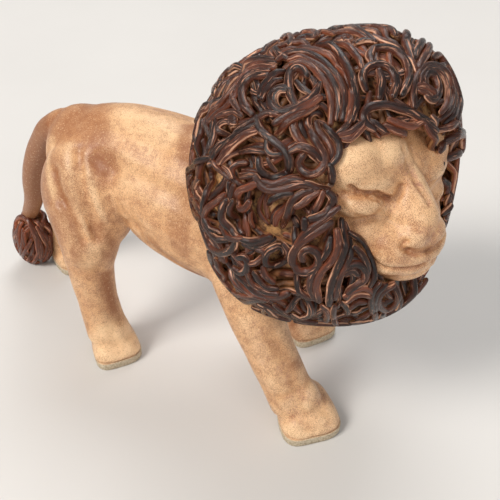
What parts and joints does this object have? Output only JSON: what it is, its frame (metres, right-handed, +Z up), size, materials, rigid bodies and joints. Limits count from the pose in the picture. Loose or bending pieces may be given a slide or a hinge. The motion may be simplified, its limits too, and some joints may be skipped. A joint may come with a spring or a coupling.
{
  "type": "ceramic lion figurine",
  "caption": "Walking glazed-stoneware lion with a curled tangle of applied clay coils for its mane and tail tuft, head turned to its right.",
  "frame": {"origin": "on the ground under the middle of the bounding box", "axes": "+X the way the body walks, +Y the lion's left, +Z up"},
  "size_m": [0.311, 0.1358, 0.2077],
  "materials": {
    "body_glaze": "satin tan glaze with fine brown speckle on fired stoneware",
    "coil_glaze": "glossy dark brown glaze on fired stoneware, broken to clay colour in the creases"
  },
  "bodies": {
    "root": {"body": "body_glaze", "mane": "coil_glaze", "tail_tuft": "coil_glaze"}
  },
  "joints": []
}
